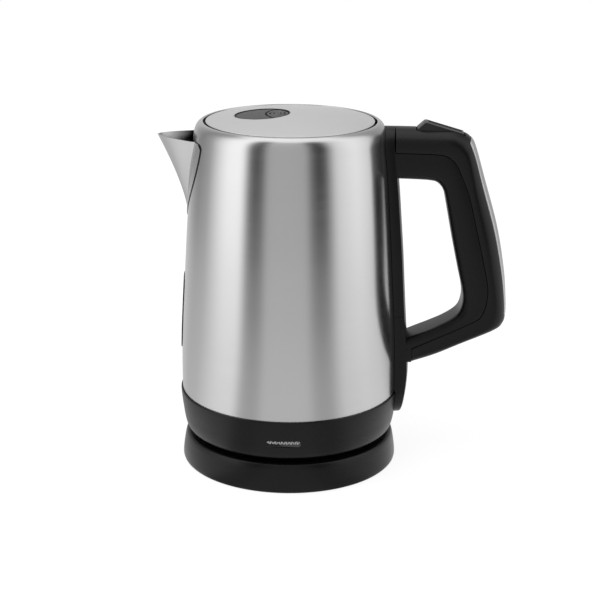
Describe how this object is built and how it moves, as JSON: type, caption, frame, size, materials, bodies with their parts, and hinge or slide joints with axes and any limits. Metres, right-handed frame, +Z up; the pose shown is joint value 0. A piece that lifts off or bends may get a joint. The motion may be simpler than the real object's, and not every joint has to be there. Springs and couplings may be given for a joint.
{
  "type": "electric kettle",
  "caption": "Cordless electric kettle: tapering brushed steel jug with V spout, D handle with rocker switch, push-button hinged lid and round power base.",
  "frame": {"origin": "on the surface the base stands on, under the middle of the jug", "axes": "+Z up along the jug's axis, +X towards the handle, -X towards the spout, -Y the side with the indicator"},
  "size_m": [0.2422, 0.154, 0.2474],
  "materials": {
    "brushed_steel": "satin, brushed round the jug",
    "lid_steel": "fine satin",
    "trim_steel": "satin, brushed lengthways",
    "plate_steel": "satin",
    "black_plastic": "fine matte grain",
    "black_fittings": "matte",
    "rocker_plastic": "semi-gloss",
    "grey_plastic": "matte, dark grey",
    "lens_plastic": "clear, slightly frosted",
    "control_plastic": "matte",
    "circuit_board": "satin",
    "rubber": "matte",
    "silicone": "matte, translucent grey",
    "plated_steel": "bright zinc",
    "brass": "bright",
    "aluminium": "cast, satin"
  },
  "bodies": {
    "base": {"base_cover": "black_plastic", "base_plate": "black_fittings", "foot_ring": "rubber", "base_screws": "plated_steel", "base_connector": "black_fittings", "base_terminals": "brass", "cord_gland": "rubber"},
    "socket": {"socket_housing": "black_fittings", "socket_pin": "brass", "socket_ring": "brass"},
    "jug": {"lower_ring": "black_plastic", "bottom_cover": "black_fittings", "bottom_screws": "plated_steel", "control_housing": "control_plastic", "bimetal_discs": "plated_steel", "heating_plate": "plate_steel", "plate_seal": "silicone", "heat_spreader": "aluminium", "heating_element": "aluminium", "indicator_lens": "lens_plastic", "indicator_board": "circuit_board", "body_shell": "brushed_steel", "window_frame": "black_fittings", "water_window": "lens_plastic", "window_gasket": "silicone", "spout": "brushed_steel", "spout_filter": "black_fittings", "rim_collar": "black_fittings", "hinge_pin": "plated_steel", "handle_frame": "black_plastic", "handle_cover": "black_plastic", "handle_trim": "trim_steel", "handle_strap": "black_plastic", "handle_screws": "plated_steel", "steam_tube": "silicone", "steam_disc": "plated_steel", "steam_switch": "black_fittings"},
    "lid": {"lid_cover": "lid_steel", "lid_frame": "black_fittings", "lid_plate": "black_fittings", "lid_screws": "plated_steel", "lid_seal": "silicone", "button_bezel": "grey_plastic", "button_spring": "plated_steel", "latch_spring": "plated_steel", "lid_spring": "plated_steel"},
    "lid_button": {"lid_button": "grey_plastic"},
    "latch": {"latch_bolt": "black_fittings"},
    "rocker": {"rocker": "rocker_plastic"}
  },
  "joints": [
    {"name": "jug_lift", "type": "slide", "parent": "base", "child": "socket", "axis": [0, 0, 1], "range_m": [0, 0.04]},
    {"name": "jug_turn", "type": "hinge", "parent": "socket", "child": "jug", "pos_m": [0, 0, 0], "axis": [0, 0, 1], "continuous": true},
    {"name": "lid_hinge", "type": "hinge", "parent": "jug", "child": "lid", "pos_m": [0.046, 0, 0.2411], "axis": [0, 1, 0], "range_deg": [0, 75]},
    {"name": "button_press", "type": "slide", "parent": "lid", "child": "lid_button", "axis": [0, 0, -1], "range_m": [0, 0.0025], "stiffness_N_per_m": 400, "springref_m": -0.002, "deforming": ["button_spring"]},
    {"name": "latch_slide", "type": "slide", "parent": "lid", "child": "latch", "axis": [1, 0, 0], "range_m": [0, 0.0025], "deforming": ["latch_spring"]},
    {"name": "rocker_press", "type": "hinge", "parent": "jug", "child": "rocker", "pos_m": [0.0978, 0, 0.2328], "axis": [0, -1, 0], "range_deg": [0, 10]}
  ],
  "couplings": [
    {"joint": "latch_slide", "follows": "button_press", "ratio": 1}
  ]
}
